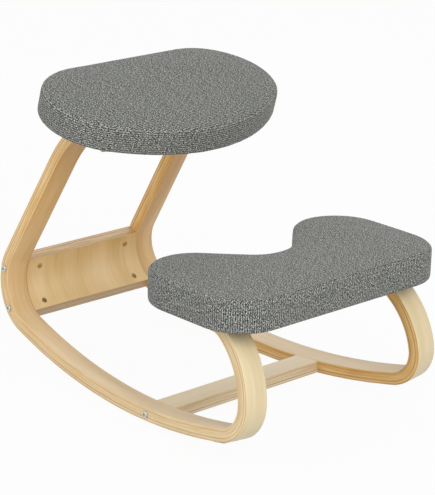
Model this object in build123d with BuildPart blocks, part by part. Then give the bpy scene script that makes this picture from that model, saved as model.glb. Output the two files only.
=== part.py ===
"""Rocking kneeling chair: two bent-laminated side frames, a bent rear panel, a crossbar and two pads.

Millimetres. +Z is up and -Y is the front, where the knees go. The origin is on the floor, midway
between the two rockers, where they touch the floor at rest.
"""

from math import cos, degrees, radians, sin, tan
import os

from build123d import *

os.makedirs("parts", exist_ok=True)

# Laminated strip of the side frames
strip_thickness = 22.5
strip_width = 41.5
edge_chamfer = 1.5
cross_member_round = 2.0

# Side frame, along the strip's outer face: the rocker touches the floor where its two sweeps meet
rocker_radius = 1080.0
rocker_front_sweep = 14.68
rocker_rear_sweep = 15.52
rear_bend_radius = 89.5
rear_bend_turn = 104.1
leg_length = 223.0
shoulder_radius = 255.0
shoulder_turn = 20.0
crook_radius = 50.0
crook_turn = 54.2
seat_arm_length = 48.0
front_bend_radius = 69.0
front_bend_turn = 83.4
knee_bow_radius = 149.0
knee_bow_turn = 50.5
knee_bend_radius = 53.0
knee_bend_turn = 32.3
knee_arm_length = 112.0

# The frames stand closer together at the rear and at the top
half_gap_at_floor = 158.0
toe_angle = 4.0
lean_angle = 4.0
toe = tan(radians(toe_angle))
lean = tan(radians(lean_angle))

# Rear panel, in the rear bend
panel_start = 14.6
panel_sweep = 81.8
panel_bolt_spread = 53.0

# Front crossbar, let in between the rockers
crossbar_width = 49.0
crossbar_from_contact = 4.4
crossbar_recess = 1.0

# Stop pads under the front ends of the rockers
pad_length = 26.0
pad_width = 30.0
pad_thickness = 2.0

# Seat cushion, in plan: straight at the rear, round corners, a bowed front
seat_width = 464.0
seat_rear = 103.5
seat_front = 162.0
seat_corner_radius = 113.0
seat_forward_of_arm = 21.0
seat_height = 52.0

# Knee cushion, in plan: straight front, two rear lobes with a notch between them
knee_width = 484.0
knee_front = 150.0
knee_corner_radius = 80.0
knee_lobe_radius = 82.0
knee_lobe_reach = 27.0
knee_shoulder_angle = 45.0
knee_notch_floor = 12.0
knee_behind_arm = 53.0
knee_height = 59.0

# Cushion build-up
cover_thickness = 1.5
underlining_thickness = 1.0
board_thickness = 12.0
board_inset = 12.0
hem_width = 26.0
soft_clearance = 0.3

# Fasteners: M6 bolts, cross nuts, tee nuts and wooden pins
bolt_diameter = 6.0
bolt_hole_diameter = 6.6
head_diameter = 12.0
head_height = 3.3
socket_size = 4.0
socket_depth = 2.0
washer_diameter = 18.0
washer_thickness = 1.6
nut_diameter = 10.0
nut_length = 16.0
nut_from_end = 27.0
nut_recess = 2.0
bolt_past_nut = 8.0
dowel_diameter = 8.0
dowel_length = 32.0
crossbar_dowel_pitch = 28.0
arm_grip = 16.5
arm_bolt_margin = 12.5
tee_flange_diameter = 20.0
tee_flange_thickness = 1.5
tee_barrel_diameter = 8.0
tee_barrel_length = 9.0
fit_clearance = 0.1
spot_face_diameter = washer_diameter + 1.0
dowel_hole_diameter = dowel_diameter + 2 * fit_clearance
dowel_depth = dowel_length / 2 + 0.5
bend_inner_radius = rear_bend_radius - strip_thickness
head_chamfer = 1.2
nut_slot = 1.2
nut_top = strip_thickness / 2 - nut_recess
cross_bolt_reach = nut_from_end + bolt_past_nut
bolt_tip_short = 0.5
glue_line = 0.1
tee_hole_diameter = tee_barrel_diameter + 2 * fit_clearance
tee_flange_hole_diameter = tee_flange_diameter + 2 * fit_clearance
underlining_hole_diameter = bolt_hole_diameter + 1.0


def strip_face(depth):
    """One long face of the strip, depth in from its outer face, as named edges."""
    rear = JernArc((0, depth), (1, 0), rocker_radius - depth, rocker_rear_sweep)
    bend = JernArc(rear @ 1, rear % 1, rear_bend_radius - depth, rear_bend_turn)
    leg = Line(bend @ 1, bend @ 1 + leg_length * (bend % 1))
    shoulder = JernArc(leg @ 1, leg % 1, shoulder_radius - depth, shoulder_turn)
    crook = JernArc(shoulder @ 1, shoulder % 1, crook_radius - depth, crook_turn)
    seat_arm = Line(crook @ 1, crook @ 1 + seat_arm_length * (crook % 1))
    front = JernArc((0, depth), (-1, 0), rocker_radius - depth, -rocker_front_sweep)
    toe_bend = JernArc(front @ 1, front % 1, front_bend_radius - depth, -front_bend_turn)
    bow = JernArc(toe_bend @ 1, toe_bend % 1, knee_bow_radius - depth, -knee_bow_turn)
    knee_bend = JernArc(bow @ 1, bow % 1, knee_bend_radius - depth, -knee_bend_turn)
    knee_arm = Line(knee_bend @ 1, knee_bend @ 1 + knee_arm_length * (knee_bend % 1))
    return {"rear": rear, "bend": bend, "seat_arm": seat_arm, "front": front, "knee_arm": knee_arm}


# Plane of the left frame's inner face, its normal pointing to the middle of the chair: the eased
# inner bottom edges of the rockers come down to the floor
floor_drop = edge_chamfer * sin(radians(lean_angle))
left_plane = Plane(
    origin=(-half_gap_at_floor, 0, -floor_drop),
    x_dir=(toe, 1, 0),
    z_dir=(1, -toe, -lean),
)
outer_face = strip_face(0)
middle_line = strip_face(strip_thickness / 2)


def on_left_frame(point, inward=0.0):
    """A point of the frame's own plane, moved towards the middle of the chair, in the chair's frame."""
    return left_plane.from_local_coords(Vector(point.X, point.Y, inward))


def arm_plane(arm, from_start):
    """The plane that a board rests on: along the arm's inner top edge and level from side to side."""
    start = on_left_frame(arm @ 0)
    end = on_left_frame(arm @ 1)
    along = Vector(0, end.Y - start.Y, end.Z - start.Z).normalized()
    rearward = along if along.Y > 0 else -along
    origin = Vector(0, start.Y, start.Z) + from_start * rearward
    return Plane(origin=origin, x_dir=(1, 0, 0), z_dir=Vector(1, 0, 0).cross(rearward))


seat_plane = arm_plane(outer_face["seat_arm"], seat_forward_of_arm)
knee_plane = arm_plane(outer_face["knee_arm"], knee_behind_arm)


def arm_bolt_points(arm, plane):
    """Two bolt places on each arm, in the middle of the strip, as points of the board's plane."""
    points = []
    for distance in (arm_bolt_margin, arm.length - arm_bolt_margin):
        middle = on_left_frame(arm @ (distance / arm.length), -strip_width / 2)
        local = plane.to_local_coords(middle)
        points += [(local.X, local.Y), (-local.X, local.Y)]
    return points


seat_bolt_points = arm_bolt_points(outer_face["seat_arm"], seat_plane)
knee_bolt_points = arm_bolt_points(outer_face["knee_arm"], knee_plane)

# Places along the rear bend and the rocker, in the left frame's plane
bend_centre = middle_line["bend"].arc_center
panel_middle = panel_start + panel_sweep / 2
bolt_turns = [panel_middle - panel_bolt_spread / 2, panel_middle + panel_bolt_spread / 2]
panel_bolt_points = [middle_line["bend"] @ (turn / rear_bend_turn) for turn in bolt_turns]
panel_dowel_point = middle_line["bend"] @ (panel_middle / rear_bend_turn)
crossbar_point = middle_line["front"] @ (crossbar_from_contact / rocker_front_sweep)
crossbar_along = middle_line["front"] % (crossbar_from_contact / rocker_front_sweep)
crossbar_dowel_points = [
    crossbar_point + crossbar_along * (crossbar_dowel_pitch / 2),
    crossbar_point - crossbar_along * (crossbar_dowel_pitch / 2),
]


def seat_outline(inset):
    """The seat's plan, inset all round; its corner and front arcs follow from being tangent."""
    corner_x = seat_width / 2 - seat_corner_radius
    corner_y = seat_rear - seat_corner_radius
    reach = corner_y + seat_front
    front_radius = (corner_x**2 + reach**2 - seat_corner_radius**2) / (2 * (reach - seat_corner_radius))
    front_centre = front_radius - seat_front
    apart = Vector(corner_x, corner_y - front_centre).normalized()
    corner = seat_corner_radius - inset
    side = Vector(corner_x, corner_y) + corner * apart
    rear = Vector(corner_x, seat_rear - inset)
    bulge = Vector(corner_x, corner_y) + corner * (apart + Vector(0, 1)).normalized()
    Line((-rear.X, rear.Y), (rear.X, rear.Y))
    ThreePointArc((rear.X, rear.Y), (bulge.X, bulge.Y), (side.X, side.Y))
    ThreePointArc((side.X, side.Y), (0, inset - seat_front), (-side.X, side.Y))
    ThreePointArc((-side.X, side.Y), (-bulge.X, bulge.Y), (-rear.X, rear.Y))


def knee_outline(inset):
    """The knee pad's plan, inset all round; the notch's radius follows from its two shoulders."""
    half = knee_width / 2
    lobe = Vector(half - knee_lobe_radius, knee_lobe_reach)
    corner = Vector(half - knee_corner_radius, knee_corner_radius - knee_front)
    slope = radians(knee_shoulder_angle)
    across = Vector(-sin(slope), cos(slope))
    drop = cos(slope) * knee_notch_floor - across.dot(lobe) - knee_lobe_radius
    notch_radius = drop / (1 - cos(slope))
    notch = Vector(0, knee_notch_floor + notch_radius)
    lobe_side = lobe + Vector(knee_lobe_radius - inset, 0)
    lobe_bulge = lobe + (knee_lobe_radius - inset) * (across + Vector(1, 0)).normalized()
    shoulder = lobe + (knee_lobe_radius - inset) * across
    dip = notch - (notch_radius + inset) * across
    corner_side = corner + Vector(knee_corner_radius - inset, 0)
    corner_bulge = corner + (knee_corner_radius - inset) * Vector(1, -1).normalized()
    corner_front = corner - Vector(0, knee_corner_radius - inset)
    ThreePointArc((-dip.X, dip.Y), (0, knee_notch_floor - inset), (dip.X, dip.Y))
    for side in (1, -1):
        Line((side * dip.X, dip.Y), (side * shoulder.X, shoulder.Y))
        ThreePointArc(
            (side * shoulder.X, shoulder.Y),
            (side * lobe_bulge.X, lobe_bulge.Y),
            (side * lobe_side.X, lobe_side.Y),
        )
        Line((side * lobe_side.X, lobe_side.Y), (side * corner_side.X, corner_side.Y))
        ThreePointArc(
            (side * corner_side.X, corner_side.Y),
            (side * corner_bulge.X, corner_bulge.Y),
            (side * corner_front.X, corner_front.Y),
        )
    Line((corner_front.X, corner_front.Y), (-corner_front.X, corner_front.Y))


# Side profile of a cushion: share of its height, and how far it is drawn in there
cover_profile = [
    (0.00, 6.0),
    (0.06, 2.0),
    (0.25, 0.0),
    (0.60, 0.8),
    (0.82, 5.0),
    (0.94, 16.0),
    (1.00, 42.0),
]
foam_profile = cover_profile[::2]


def cushion_form(plane, outline, profile, bottom, top, inset, mode=Mode.ADD):
    """A crowned pad between two heights above the plane, drawn in by inset all round."""
    sections = []
    for share, drawn_in in profile:
        with BuildSketch(plane.offset(bottom + share * (top - bottom))) as section:
            with BuildLine():
                outline(drawn_in + inset)
            make_face()
        sections.append(section.sketch)
    loft(sections, ruled=True, mode=mode)


def flat_plan(plane, outline, inset, bottom, top, mode=Mode.ADD):
    """A flat plate with the pad's plan, drawn in by inset, between two heights above the plane."""
    with BuildSketch(plane.offset(bottom)) as plan:
        with BuildLine():
            outline(inset)
        make_face()
    extrude(plan.sketch, amount=top - bottom, mode=mode)


def rods(plane, points, diameter, bottom, top, mode=Mode.ADD):
    """Round rods, or holes, square to the plane, between two heights above it."""
    with BuildSketch(plane.offset(bottom)) as circles:
        with Locations(*points):
            Circle(diameter / 2)
    extrude(circles.sketch, amount=top - bottom, mode=mode)


def keep(builder, name):
    """Label a finished piece and write it."""
    builder.part.label = name
    export_step(builder.part, f"parts/{name}.step")
    print(name, len(builder.part.solids()), round(builder.part.volume))


# Side frames: a bent strip, its arms planed level where the boards rest
board_bottom = underlining_thickness
board_top = board_bottom + board_thickness
beyond = 100.0

with BuildPart() as left_side_frame:
    with BuildSketch(left_plane):
        with BuildLine():
            outside = strip_face(0)
            inside = strip_face(strip_thickness)
            for arm in ("seat_arm", "knee_arm"):
                Line(outside[arm] @ 1, inside[arm] @ 1)
        make_face()
    extrude(amount=-strip_width)
    side_faces = left_side_frame.faces().filter_by(left_plane)
    chamfer(side_faces.edges(), length=edge_chamfer)
    planing_width = 2 * (half_gap_at_floor + strip_width + beyond)
    for plane, arm in ((seat_plane, outer_face["seat_arm"]), (knee_plane, outer_face["knee_arm"])):
        with Locations(plane):
            Box(
                planing_width,
                2 * (arm.length + beyond),
                beyond,
                align=(Align.CENTER, Align.CENTER, Align.MIN),
                mode=Mode.SUBTRACT,
            )
    for plane, points in ((seat_plane, seat_bolt_points), (knee_plane, knee_bolt_points)):
        near = [point for point in points if point[0] < 0]
        rods(plane, near, bolt_hole_diameter, -arm_grip - beyond, 0, Mode.SUBTRACT)
        rods(plane, near, spot_face_diameter, -arm_grip - beyond, -arm_grip, Mode.SUBTRACT)
    bolt_points = [*panel_bolt_points, crossbar_point]
    rods(left_plane, bolt_points, bolt_hole_diameter, -strip_width, 0, Mode.SUBTRACT)
    dowel_points = [panel_dowel_point, *crossbar_dowel_points]
    rods(left_plane, dowel_points, dowel_hole_diameter, -dowel_depth, 0, Mode.SUBTRACT)
keep(left_side_frame, "left_side_frame")

with BuildPart() as right_side_frame:
    mirror(left_side_frame.part, about=Plane.YZ)
keep(right_side_frame, "right_side_frame")

# Bolts, cross nuts and tee nuts, each modelled once, pointing up from where it seats
def make_bolt(length):
    """A button-head bolt: its head hangs below the origin and its shank stands on it."""
    with BuildPart() as bolt:
        Cylinder(head_diameter / 2, head_height, align=(Align.CENTER, Align.CENTER, Align.MAX))
        chamfer(bolt.edges().sort_by(Axis.Z)[0], length=head_chamfer)
        Cylinder(bolt_diameter / 2, length, align=(Align.CENTER, Align.CENTER, Align.MIN))
        with BuildSketch(Plane.XY.offset(-head_height)):
            RegularPolygon(socket_size / 2, 6, major_radius=False)
        extrude(amount=socket_depth, mode=Mode.SUBTRACT)
    return bolt.part


def make_cross_nut():
    """A barrel nut, centred on the bolt that crosses it along X, with a screwdriver slot on top."""
    with BuildPart() as nut:
        with Locations((0, 0, nut_top)):
            Cylinder(nut_diameter / 2, nut_length, align=(Align.CENTER, Align.CENTER, Align.MAX))
            Box(nut_diameter, nut_slot, 2 * nut_slot, mode=Mode.SUBTRACT)
        with BuildSketch(Plane.YZ):
            Circle(bolt_diameter / 2 + fit_clearance)
        extrude(amount=nut_diameter, both=True, mode=Mode.SUBTRACT)
    return nut.part


def make_tee_nut():
    """A tee nut: a flange on top of the board and a barrel down into it."""
    with BuildPart() as tee:
        Cylinder(
            tee_flange_diameter / 2,
            tee_flange_thickness,
            align=(Align.CENTER, Align.CENTER, Align.MAX),
        )
        Cylinder(
            tee_barrel_diameter / 2,
            tee_flange_thickness + tee_barrel_length,
            align=(Align.CENTER, Align.CENTER, Align.MAX),
        )
        Hole(bolt_diameter / 2 + fit_clearance)
    return tee.part


def standing(plane, points, height):
    """Places on a plane, at a height above it, for pieces that stand square to it."""
    return [plane.offset(height).location * Location((x, y, 0)) for x, y in points]


def left_bolt_places(points):
    """Places on the left frame's outer face for bolts that point to the middle of the chair."""
    return standing(left_plane, [(point.X, point.Y) for point in points], -strip_width)


def left_nut_places(points, towards):
    """Places inside a cross member, on the bolts, for nuts that open in the directions given."""
    places = []
    for point, direction in zip(points, towards):
        opening = on_left_frame(point + direction) - on_left_frame(point)
        seat = Plane(on_left_frame(point, nut_from_end), x_dir=left_plane.z_dir, z_dir=opening)
        places.append(seat.location)
    return places


def cut_end_holes(bolts, dowels, nut_places):
    """Holes in the left end of a cross member for its bolts, dowels and cross nuts."""
    rods(left_plane, bolts, bolt_hole_diameter, 0, cross_bolt_reach + 1, Mode.SUBTRACT)
    rods(left_plane, dowels, dowel_hole_diameter, 0, dowel_depth, Mode.SUBTRACT)
    for place in nut_places:
        with Locations(place):
            with Locations((0, 0, nut_top - nut_length - fit_clearance)):
                Cylinder(
                    nut_diameter / 2 + fit_clearance,
                    strip_thickness,
                    align=(Align.CENTER, Align.CENTER, Align.MIN),
                    mode=Mode.SUBTRACT,
                )


cross_bolt = make_bolt(strip_width + cross_bolt_reach)
arm_bolt = make_bolt(arm_grip + washer_thickness + board_top - bolt_tip_short)
cross_nut = make_cross_nut()
tee_nut = make_tee_nut()

# Rear panel: the same lamination as the frames, its ends cut to their lean
bend_on_frame = on_left_frame(bend_centre)
panel_first = rocker_rear_sweep - 90 + panel_start
panel_nut_places = left_nut_places(
    panel_bolt_points,
    [(bend_centre - point).normalized() for point in panel_bolt_points],
)

with BuildPart() as rear_cross_panel:
    with BuildSketch(Plane.YZ):
        with BuildLine():
            bend_on_chair = (bend_on_frame.Y, bend_on_frame.Z)
            panel_back = CenterArc(bend_on_chair, rear_bend_radius, panel_first, panel_sweep)
            panel_front = CenterArc(bend_on_chair, bend_inner_radius, panel_first, panel_sweep)
            Line(panel_back @ 0, panel_front @ 0)
            Line(panel_back @ 1, panel_front @ 1)
        make_face()
    extrude(amount=-half_gap_at_floor - beyond)
    fillet(rear_cross_panel.edges().filter_by(Axis.X), radius=cross_member_round)
    split(bisect_by=left_plane)
    cut_end_holes(panel_bolt_points, [panel_dowel_point], panel_nut_places)
    mirror(about=Plane.YZ)
keep(rear_cross_panel, "rear_cross_panel")

with BuildPart() as panel_bolts:
    with Locations(*left_bolt_places(panel_bolt_points)):
        add(cross_bolt)
    mirror(about=Plane.YZ)
keep(panel_bolts, "panel_bolts")

with BuildPart() as panel_barrel_nuts:
    with Locations(*panel_nut_places):
        add(cross_nut)
    mirror(about=Plane.YZ)
keep(panel_barrel_nuts, "panel_barrel_nuts")

with BuildPart() as panel_dowels:
    rods(left_plane, [panel_dowel_point], dowel_diameter, -dowel_length / 2, dowel_length / 2)
    mirror(about=Plane.YZ)
keep(panel_dowels, "panel_dowels")

# Front crossbar: flush with the rockers' top faces, a little short of the floor side
crossbar_up = Vector(0, 0, 1).cross(-crossbar_along)
crossbar_centre = on_left_frame(crossbar_point + crossbar_up * (crossbar_recess / 2))
crossbar_tilt = Vector(-1, 0).get_signed_angle(crossbar_along, Vector(0, 0, 1))
crossbar_nut_places = left_nut_places([crossbar_point], [-crossbar_up])

with BuildPart() as front_crossbar:
    with BuildSketch(Plane.YZ):
        with Locations(Location((crossbar_centre.Y, crossbar_centre.Z), crossbar_tilt)):
            RectangleRounded(crossbar_width, strip_thickness - crossbar_recess, cross_member_round)
    extrude(amount=-half_gap_at_floor - beyond)
    split(bisect_by=left_plane)
    cut_end_holes([crossbar_point], crossbar_dowel_points, crossbar_nut_places)
    mirror(about=Plane.YZ)
keep(front_crossbar, "front_crossbar")

with BuildPart() as crossbar_bolts:
    with Locations(*left_bolt_places([crossbar_point])):
        add(cross_bolt)
    mirror(about=Plane.YZ)
keep(crossbar_bolts, "crossbar_bolts")

with BuildPart() as crossbar_barrel_nuts:
    with Locations(*crossbar_nut_places):
        add(cross_nut)
    mirror(about=Plane.YZ)
keep(crossbar_barrel_nuts, "crossbar_barrel_nuts")

with BuildPart() as crossbar_dowels:
    rods(left_plane, crossbar_dowel_points, dowel_diameter, -dowel_length / 2, dowel_length / 2)
    mirror(about=Plane.YZ)
keep(crossbar_dowels, "crossbar_dowels")

# Stop pads: thin strips glued under the front ends of the rockers
rocker_centre = (0, rocker_radius)
pad_sweep = degrees(pad_length / rocker_radius)
pad_first = -90 - rocker_front_sweep

with BuildPart() as stop_pads:
    with BuildSketch(left_plane.offset((pad_width - strip_width) / 2)):
        with BuildLine():
            pad_top = CenterArc(rocker_centre, rocker_radius + glue_line, pad_first, pad_sweep)
            pad_sole = CenterArc(rocker_centre, rocker_radius + pad_thickness, pad_first, pad_sweep)
            Line(pad_top @ 0, pad_sole @ 0)
            Line(pad_top @ 1, pad_sole @ 1)
        make_face()
    extrude(amount=-pad_width)
    mirror(about=Plane.YZ)
keep(stop_pads, "stop_pads")

# Seat and knee pads: underlining, board, foam and cover, bolted to the arms
pads = {
    "seat": (seat_plane, seat_outline, seat_bolt_points, seat_height),
    "knee": (knee_plane, knee_outline, knee_bolt_points, knee_height),
}
for name, (plane, outline, points, height) in pads.items():
    with BuildPart() as underlining:
        flat_plan(plane, outline, hem_width + soft_clearance, 0, underlining_thickness)
        rods(plane, points, underlining_hole_diameter, 0, underlining_thickness, Mode.SUBTRACT)
    keep(underlining, f"{name}_underlining")

    with BuildPart() as board:
        flat_plan(plane, outline, board_inset, board_bottom, board_top)
        rods(plane, points, tee_hole_diameter, board_bottom, board_top, Mode.SUBTRACT)
        flange_seat = board_top - tee_flange_thickness
        rods(plane, points, tee_flange_hole_diameter, flange_seat, board_top, Mode.SUBTRACT)
    keep(board, f"{name}_board")

    with BuildPart() as foam:
        foam_bottom = underlining_thickness + soft_clearance
        foam_top = height - cover_thickness - soft_clearance
        foam_inset = cover_thickness + soft_clearance
        cushion_form(plane, outline, foam_profile, foam_bottom, foam_top, foam_inset)
        pocket_inset = board_inset - soft_clearance
        flat_plan(plane, outline, pocket_inset, 0, board_top + soft_clearance, Mode.SUBTRACT)
    keep(foam, f"{name}_foam")

    with BuildPart() as cover:
        cushion_form(plane, outline, cover_profile, 0, height, 0)
        cavity_top = height - cover_thickness
        cushion_form(
            plane,
            outline,
            foam_profile,
            underlining_thickness,
            cavity_top,
            cover_thickness,
            Mode.SUBTRACT,
        )
        flat_plan(plane, outline, hem_width, 0, underlining_thickness, Mode.SUBTRACT)
    keep(cover, f"{name}_cover")

    with BuildPart() as bolts:
        with Locations(*standing(plane, points, -arm_grip - washer_thickness)):
            add(arm_bolt)
    keep(bolts, f"{name}_bolts")

    with BuildPart() as washers:
        rods(plane, points, washer_diameter, -arm_grip - washer_thickness, -arm_grip)
        washer_hole = bolt_diameter + 4 * fit_clearance
        rods(plane, points, washer_hole, -arm_grip - washer_thickness, -arm_grip, Mode.SUBTRACT)
    keep(washers, f"{name}_washers")

    with BuildPart() as tee_nuts:
        with Locations(*standing(plane, points, board_top)):
            add(tee_nut)
    keep(tee_nuts, f"{name}_tee_nuts")
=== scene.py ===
# %% [markdown]
# # A rocking kneeling chair
# The chair has two bent strips of laminated birch, a bent panel and a bar that join them, and two
# padded rests in grey cloth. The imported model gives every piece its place, so this lesson only makes
# what a solid can't show: plies that follow the bends, cloth that is sewn and stuffed, and finishes.

# %% Load the frame
import math

import bpy
import numpy as np
from mathutils import Matrix, Vector, noise
from mathutils.kdtree import KDTree


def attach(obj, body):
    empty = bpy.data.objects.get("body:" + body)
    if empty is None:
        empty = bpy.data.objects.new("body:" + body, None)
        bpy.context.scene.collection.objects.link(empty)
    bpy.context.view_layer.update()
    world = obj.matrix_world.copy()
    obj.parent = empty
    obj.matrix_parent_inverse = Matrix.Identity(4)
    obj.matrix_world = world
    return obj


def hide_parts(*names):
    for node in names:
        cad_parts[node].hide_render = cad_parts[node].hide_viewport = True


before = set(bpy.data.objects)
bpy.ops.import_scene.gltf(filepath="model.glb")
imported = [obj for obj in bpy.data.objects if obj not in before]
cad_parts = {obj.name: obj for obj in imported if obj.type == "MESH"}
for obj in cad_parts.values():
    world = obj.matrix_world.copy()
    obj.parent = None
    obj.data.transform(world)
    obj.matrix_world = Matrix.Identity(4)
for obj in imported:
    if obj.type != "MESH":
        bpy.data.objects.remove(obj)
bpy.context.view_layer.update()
scene = bpy.context.scene
mm = 0.001
print("pieces in the frame:", len(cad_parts))


def pick(piece):
    """Make one object the only one that is selected, and the active one."""
    bpy.ops.object.select_all(action="DESELECT")
    piece.select_set(True)
    bpy.context.view_layer.objects.active = piece


# %% [markdown]
# ## Camera, floor and light
# A long lens seen from the front left, a little above. At rest the chair balances a few degrees
# further back than the one that was seen, so the camera is rolled slightly instead of the chair.
# The floor and the world are white to the camera, to mirrors and to glass. The light that falls on
# the chair is plain and soft, and the floor keeps a trace of its shadow.

# %% Camera
# The place is in metres, the turn in degrees and the lens in millimetres.
camera_place = (-2.3273, -2.4607, 1.4067)
camera_turn = (70.96, -2.13, -42.88)
camera_lens = 156.0

bpy.ops.object.camera_add(
    location=camera_place,
    rotation=[math.radians(angle) for angle in camera_turn],
)
camera = bpy.context.object
camera.data.lens = camera_lens
scene.camera = camera
scene.view_settings.view_transform = "Standard"
print("camera distance, m:", round(camera.location.length, 2))


# %% A node and a colour
def add_node(tree, kind, inputs=None, **settings):
    """Add a node, set its properties, and give its inputs values or other nodes' outputs."""
    made = tree.nodes.new(kind)
    for name, value in settings.items():
        setattr(made, name, value)
    for key, value in (inputs or {}).items():
        if isinstance(value, bpy.types.NodeSocket):
            tree.links.new(value, made.inputs[key])
        else:
            made.inputs[key].default_value = value
    return made


def colour(hex_code):
    """A linear colour from an sRGB hex code."""
    channels = [int(hex_code[i : i + 2], 16) / 255 for i in (1, 3, 5)]
    linear = [c / 12.92 if c <= 0.04045 else ((c + 0.055) / 1.055) ** 2.4 for c in channels]
    return (*linear, 1.0)


def new_material(name):
    """An empty material, its node tree and its output node."""
    material = bpy.data.materials.new(name)
    material.use_nodes = True
    tree = material.node_tree
    tree.nodes.clear()
    return material, tree, add_node(tree, "ShaderNodeOutputMaterial")


def wear(piece, material):
    """Give a piece one material."""
    piece.data.materials.clear()
    piece.data.materials.append(material)


# %% World and floor
world_light = 0.67
floor_glow = 0.95
floor_size = 12.0
paper_white = "#D4D4D4"
pure_white = (1, 1, 1, 1)


def seen_directly(tree):
    """One for the rays of the camera, of mirrors and of glass, and zero for light that only bounces."""
    rays = add_node(tree, "ShaderNodeLightPath")
    mirrored = add_node(
        tree,
        "ShaderNodeMath",
        {0: rays.outputs["Is Camera Ray"], 1: rays.outputs["Is Glossy Ray"]},
        operation="MAXIMUM",
    )
    seen = add_node(
        tree,
        "ShaderNodeMath",
        {0: mirrored.outputs[0], 1: rays.outputs["Is Transmission Ray"]},
        operation="MAXIMUM",
    )
    return seen.outputs[0]


world = bpy.data.worlds.new("studio")
scene.world = world
world.use_nodes = True
sky = world.node_tree
sky.nodes.clear()
strength = add_node(
    sky,
    "ShaderNodeMapRange",
    {"Value": seen_directly(sky), "To Min": world_light, "To Max": 1.0},
)
background = add_node(
    sky,
    "ShaderNodeBackground",
    {"Color": pure_white, "Strength": strength.outputs[0]},
)
add_node(sky, "ShaderNodeOutputWorld", {"Surface": background.outputs[0]})

bpy.ops.mesh.primitive_plane_add(size=floor_size)
floor = bpy.context.object
floor.name = "studio_floor"
# Matt white paper: no shine at all, only the soft shadow that the chair casts on it.
floor_white, tree, out = new_material("matt_white_paper")
paper = add_node(tree, "ShaderNodeBsdfDiffuse", {"Color": colour(paper_white)})
glow = add_node(tree, "ShaderNodeEmission", {"Color": pure_white, "Strength": 1.0})
glow_share = add_node(
    tree,
    "ShaderNodeMath",
    {0: seen_directly(tree), 1: floor_glow},
    operation="MULTIPLY",
)
mixed = add_node(
    tree,
    "ShaderNodeMixShader",
    {0: glow_share.outputs[0], 1: paper.outputs[0], 2: glow.outputs[0]},
)
tree.links.new(mixed.outputs[0], out.inputs["Surface"])
wear(floor, floor_white)
print("floor, m:", floor_size, "x", floor_size)

# %% Soft boxes
# Each has its name, its place and size in metres, and its power in watts.
soft_boxes = [
    ("key_light", (-1.0, -2.9, 2.0), 2.2, 63.0),
    ("side_light", (-2.9, 0.2, 1.5), 1.8, 24.0),
    ("rear_light", (1.9, 1.8, 2.2), 1.6, 12.0),
]
aim = Vector((0, 0, 0.25))
for name, place, size, power in soft_boxes:
    bpy.ops.object.light_add(type="AREA", location=place)
    lamp = bpy.context.object
    lamp.name = name
    lamp.data.size = size
    lamp.data.energy = power
    lamp.rotation_euler = (aim - Vector(place)).to_track_quat("-Z", "Y").to_euler()
print("lamps:", len(soft_boxes))

# %% [markdown]
# ## The side frames
# Each side of the chair is one strip: fifteen birch veneers glued in a mould, bent into a rocker, a
# leg and two arms. Such a strip could be swept along a curve, but here it is made as the mould makes
# it: the strip's end face is spun round each bend and pushed along each straight. The same list of
# bends then tells, for any point, how far along the strip and how deep in the plies it lies.

# %% The strip and its bends
strip_thickness = 22.5 * mm
strip_width = 41.5 * mm
ply_thickness = 1.5 * mm
edge_round = 1.8 * mm
# From the floor contact outwards: a bend has the outer face's radius and its angle in degrees, and a
# straight has no radius, only its length.
bends_to_the_rear = [
    ("rocker", 1080.0 * mm, 15.52),
    ("rear bend", 89.5 * mm, 104.1),
    ("leg", None, 223.0 * mm),
    ("shoulder", 255.0 * mm, 20.0),
    ("crook", 50.0 * mm, 54.2),
    ("seat arm", None, 48.0 * mm),
]
bends_to_the_front = [
    ("rocker", 1080.0 * mm, 14.68),
    ("front bend", 69.0 * mm, 83.4),
    ("knee bow", 149.0 * mm, 50.5),
    ("knee bend", 53.0 * mm, 32.3),
    ("knee arm", None, 112.0 * mm),
]


def trace(bends):
    """Follow the outer face from the floor contact; note where each bend or straight begins."""
    runs = {}
    place = Vector((0, 0))
    heading = 0.0
    along = 0.0
    for name, radius, amount in bends:
        ahead = Vector((math.cos(heading), math.sin(heading)))
        inward = Vector((-ahead.y, ahead.x))
        run = {"radius": radius, "start": place, "ahead": ahead, "inward": inward}
        run.update(heading=heading, along=along)
        if radius is None:
            run["length"] = amount
            place = place + amount * ahead
        else:
            run["turn"] = math.radians(amount)
            run["length"] = radius * run["turn"]
            run["centre"] = place + radius * inward
            heading += run["turn"]
            place = run["centre"] + radius * Vector((math.sin(heading), -math.cos(heading)))
        run["end"] = place
        along += run["length"]
        runs[name] = run
    return runs


rear_runs = trace(bends_to_the_rear)
front_runs = trace(bends_to_the_front)


def unroll(runs, point):
    """How far along the strip a point of the frame's plane is, and how deep under the outer face."""
    best = None
    for run in runs.values():
        if run["radius"] is None:
            offset = point - run["start"]
            along = offset.dot(run["ahead"])
            depth = offset.dot(run["inward"])
        else:
            spoke = point - run["centre"]
            angle = math.atan2(spoke.x, -spoke.y) - run["heading"]
            angle = (angle + math.pi) % math.tau - math.pi
            along = angle * run["radius"]
            depth = run["radius"] - spoke.length
        outside = max(-along, along - run["length"], -depth, depth - strip_thickness)
        if best is None or outside < best[0]:
            best = (outside, run["along"] + along, depth)
    return best[1], best[2]


for runs in (rear_runs, front_runs):
    print("strip length, m:", round(sum(run["length"] for run in runs.values()), 3))

# %% The frames' plane
half_gap_at_floor = 158.0 * mm
toe_angle = math.radians(4.0)
lean_angle = math.radians(4.0)
# The solid's edges have a small chamfer, so a frame that leans sits a little lower.
solid_chamfer = 1.5 * mm
floor_drop = solid_chamfer * math.sin(lean_angle)

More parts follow.
